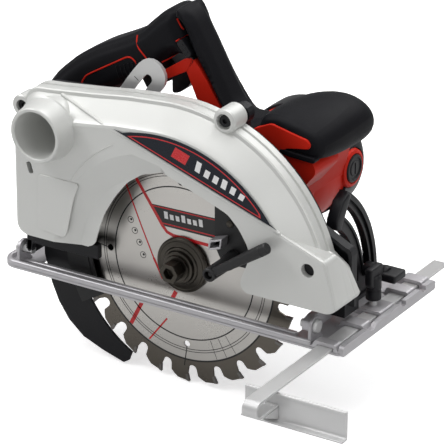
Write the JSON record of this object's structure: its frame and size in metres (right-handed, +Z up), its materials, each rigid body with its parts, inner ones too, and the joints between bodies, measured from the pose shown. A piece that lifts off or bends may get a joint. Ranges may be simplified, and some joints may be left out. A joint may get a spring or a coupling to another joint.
{
  "type": "circular saw",
  "caption": "Hand-held circular saw: tilting steel sole, cast blade guard, slotted depth arc, swinging lower guard, parallel fence and a two-hand grip.",
  "frame": {"origin": "centre of the sole plate's underside, midway along and across it", "axes": "+X along the cut, forwards; +Y from the blade side towards the motor; +Z up"},
  "size_m": [0.3544, 0.2745, 0.2795],
  "materials": {
    "zinc_steel": "zinc plated",
    "bright_steel": "brushed",
    "blade_steel": "ground",
    "dark_steel": "burnished",
    "cast_aluminium": "satin",
    "black_paint": "satin",
    "black_plastic": "fine texture",
    "red_plastic": "satin",
    "grip_rubber": "soft touch",
    "label_print": "printed film",
    "copper": "machined",
    "brass": "machined",
    "carbon": "carbon"
  },
  "bodies": {
    "sole": {"sole_plate": "zinc_steel", "bevel_quadrant": "black_plastic"},
    "fence": {"guide_bar": "bright_steel", "fence_plate": "bright_steel", "fence_bracket": "bright_steel"},
    "fence_screw": {"fence_wing_screw": "black_plastic", "fence_screw_stem": "bright_steel"},
    "frame": {"tilt_frame": "black_paint", "depth_arc": "bright_steel", "rear_bevel_pin": "bright_steel", "front_bevel_pin": "bright_steel", "depth_pivot_pin": "bright_steel"},
    "bevel_screw": {"bevel_screw_stem": "bright_steel", "bevel_wing_screw": "black_plastic"},
    "saw": {"guard_cover": "cast_aluminium", "dust_port": "cast_aluminium", "guard_label": "label_print", "inner_guard": "black_paint", "boss_screw": "bright_steel", "riving_knife": "black_paint", "knife_screw": "bright_steel", "gear_case": "black_plastic", "idler_shaft": "bright_steel", "spindle_bearing": "bright_steel", "stator": "dark_steel", "motor_bearing_front": "bright_steel", "motor_bearing_rear": "bright_steel", "brush_left": "carbon", "brush_right": "carbon", "brush_holder_left": "brass", "brush_holder_right": "brass", "brush_cap_left": "black_plastic", "brush_cap_right": "black_plastic", "motor_housing": "red_plastic", "end_cap": "black_plastic", "rear_grip": "grip_rubber", "front_grip": "grip_rubber", "switch": "black_plastic", "cord_inlet": "grip_rubber", "depth_clamp_bolt": "bright_steel"},
    "drive": {"saw_blade": "blade_steel", "outer_flange": "dark_steel", "inner_flange": "dark_steel", "arbor_bolt": "dark_steel", "spindle": "bright_steel", "output_gear": "bright_steel"},
    "idler": {"idler_gear": "bright_steel"},
    "armature": {"pinion": "bright_steel", "armature_shaft": "bright_steel", "armature_core": "dark_steel", "commutator": "copper", "cooling_fan": "black_plastic"},
    "guard": {"lower_guard": "black_plastic", "guard_outer": "black_plastic", "guard_bridge": "black_plastic", "guard_lever": "black_plastic", "lever_bolt": "dark_steel"},
    "trigger_key": {"trigger": "black_plastic"},
    "lock_key": {"lock_button": "black_plastic"},
    "clamp_lever": {"depth_lever": "black_plastic"}
  },
  "joints": [
    {"name": "fence_slide", "type": "slide", "parent": "sole", "child": "fence", "axis": [0, 1, 0], "range_m": [-0.08, 0.055]},
    {"name": "fence_screw_turn", "type": "hinge", "parent": "sole", "child": "fence_screw", "pos_m": [0.131, 0.006, 0.019], "axis": [0, 0, 1], "range_deg": [0, 180]},
    {"name": "bevel_tilt", "type": "hinge", "parent": "sole", "child": "frame", "pos_m": [0.0015, -0.058, 0.014], "axis": [1, 0, 0], "range_deg": [0, 45]},
    {"name": "bevel_screw_turn", "type": "hinge", "parent": "frame", "child": "bevel_screw", "pos_m": [0.1115, 0.02745, 0.02373], "axis": [1, 0, 0], "range_deg": [0, 180]},
    {"name": "depth_pivot", "type": "hinge", "parent": "frame", "child": "saw", "pos_m": [0.1215, -0.034, 0.032], "axis": [0, 1, 0], "range_deg": [0, 25]},
    {"name": "depth_lever_turn", "type": "hinge", "parent": "saw", "child": "clamp_lever", "pos_m": [-0.08322, -0.024, 0.04273], "axis": [0, 1, 0], "range_deg": [0, 35]},
    {"name": "blade_spin", "type": "hinge", "parent": "saw", "child": "drive", "pos_m": [0.0015, -0.046, 0.029], "axis": [0, 1, 0], "continuous": true},
    {"name": "idler_spin", "type": "hinge", "parent": "saw", "child": "idler", "pos_m": [-0.00041, -0.03, 0.07511], "axis": [0, 1, 0], "continuous": true},
    {"name": "armature_spin", "type": "hinge", "parent": "saw", "child": "armature", "pos_m": [0.0315, 0.014, 0.079], "axis": [0, 1, 0], "continuous": true},
    {"name": "guard_swing", "type": "hinge", "parent": "saw", "child": "guard", "pos_m": [0.0015, -0.04, 0.029], "axis": [0, 1, 0], "range_deg": [-130, 0]},
    {"name": "trigger_squeeze", "type": "slide", "parent": "saw", "child": "trigger_key", "axis": [-0.5, 0, 0.866], "range_m": [0, 0.005], "stiffness_N_per_m": 600, "springref_m": -0.002},
    {"name": "lock_press", "type": "slide", "parent": "saw", "child": "lock_key", "axis": [0, 1, 0], "range_m": [0, 0.004], "stiffness_N_per_m": 500, "springref_m": -0.002}
  ],
  "couplings": [
    {"joint": "idler_spin", "follows": "blade_spin", "ratio": -1},
    {"joint": "armature_spin", "follows": "blade_spin", "ratio": 2.5556}
  ]
}
